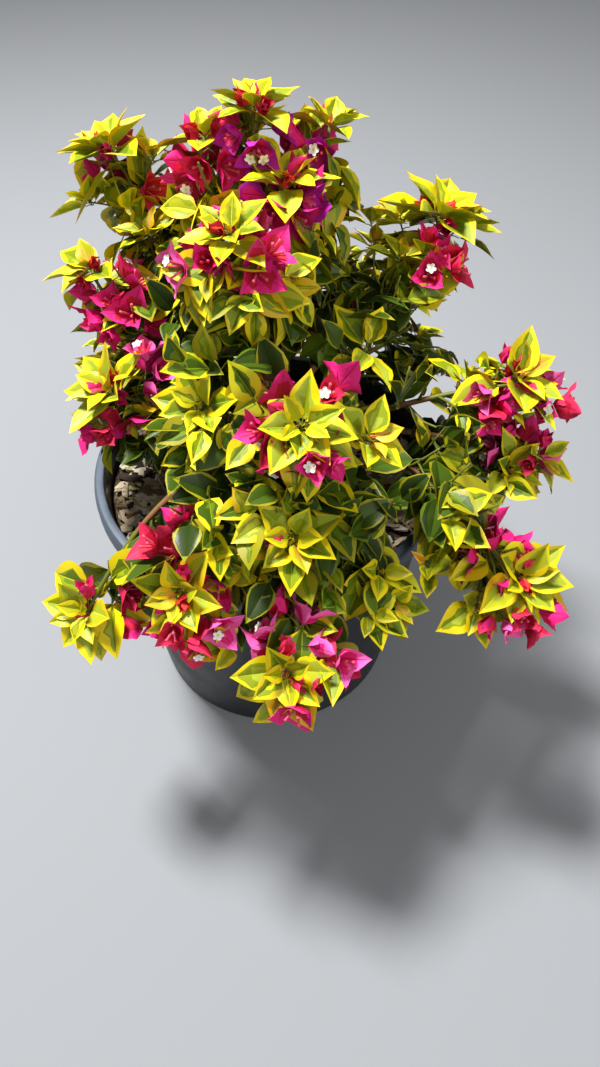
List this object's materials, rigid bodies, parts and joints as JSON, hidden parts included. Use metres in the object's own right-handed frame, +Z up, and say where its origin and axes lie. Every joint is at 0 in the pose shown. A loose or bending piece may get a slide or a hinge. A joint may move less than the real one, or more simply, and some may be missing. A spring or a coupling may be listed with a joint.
{
  "type": "potted bougainvillea shrub",
  "caption": "Bushy variegated bougainvillea with pink bracts in flower heads at its shoot tips, growing in a round black nursery pot.",
  "frame": {"origin": "middle of the pot's flat underside", "axes": "+Z up, +X to the right and +Y to the back as seen by the picture's camera"},
  "size_m": [0.3534, 0.3953, 0.4407],
  "materials": {
    "pot": "black moulded plastic with a soft sheen",
    "potting_mix": "rough bark chips and peat",
    "bark": "rough grey-brown bark",
    "leaves_and_bracts": "green leaves edged in yellow, with papery pink bracts",
    "leaves": "green leaves edged in yellow"
  },
  "bodies": {
    "root": {"pot": "pot", "soil": "potting_mix", "trunk": "bark", "bough_top": "bark", "bough_top_left": "bark", "bough_top_right": "bark", "bough_crown_middle": "bark", "bough_crown_front": "bark", "bough_left_back": "bark", "bough_left_high": "bark", "bough_left_low": "bark", "bough_right_back": "bark", "bough_left_back_low": "bark", "bough_right_back_low": "bark", "bough_right_tuft": "bark", "bough_front_high": "bark", "bough_front_tuft": "bark", "bough_right": "bark", "bough_right_edge": "bark", "bough_right_front": "bark", "bough_front": "bark", "bough_front_middle": "bark", "bough_front_left": "bark", "bough_front_left_low": "bark", "bough_front_right_tuft": "bark", "bough_back": "bark", "bough_back_right": "bark", "bough_back_left": "bark", "foliage_top": "leaves_and_bracts", "foliage_top_left": "leaves_and_bracts", "foliage_top_right": "leaves_and_bracts", "foliage_crown_middle": "leaves_and_bracts", "foliage_crown_front": "leaves_and_bracts", "foliage_left_back": "leaves_and_bracts", "foliage_left_high": "leaves_and_bracts", "foliage_left_low": "leaves_and_bracts", "foliage_right_back": "leaves_and_bracts", "foliage_left_back_low": "leaves", "foliage_right_back_low": "leaves", "foliage_right_tuft": "leaves", "foliage_front_high": "leaves_and_bracts", "foliage_front_tuft": "leaves", "foliage_right": "leaves_and_bracts", "foliage_right_edge": "leaves_and_bracts", "foliage_right_front": "leaves_and_bracts", "foliage_front": "leaves_and_bracts", "foliage_front_middle": "leaves_and_bracts", "foliage_front_left": "leaves_and_bracts", "foliage_front_left_low": "leaves_and_bracts", "foliage_front_right_tuft": "leaves", "foliage_back": "leaves_and_bracts", "foliage_back_right": "leaves_and_bracts", "foliage_back_left": "leaves_and_bracts"}
  },
  "joints": []
}
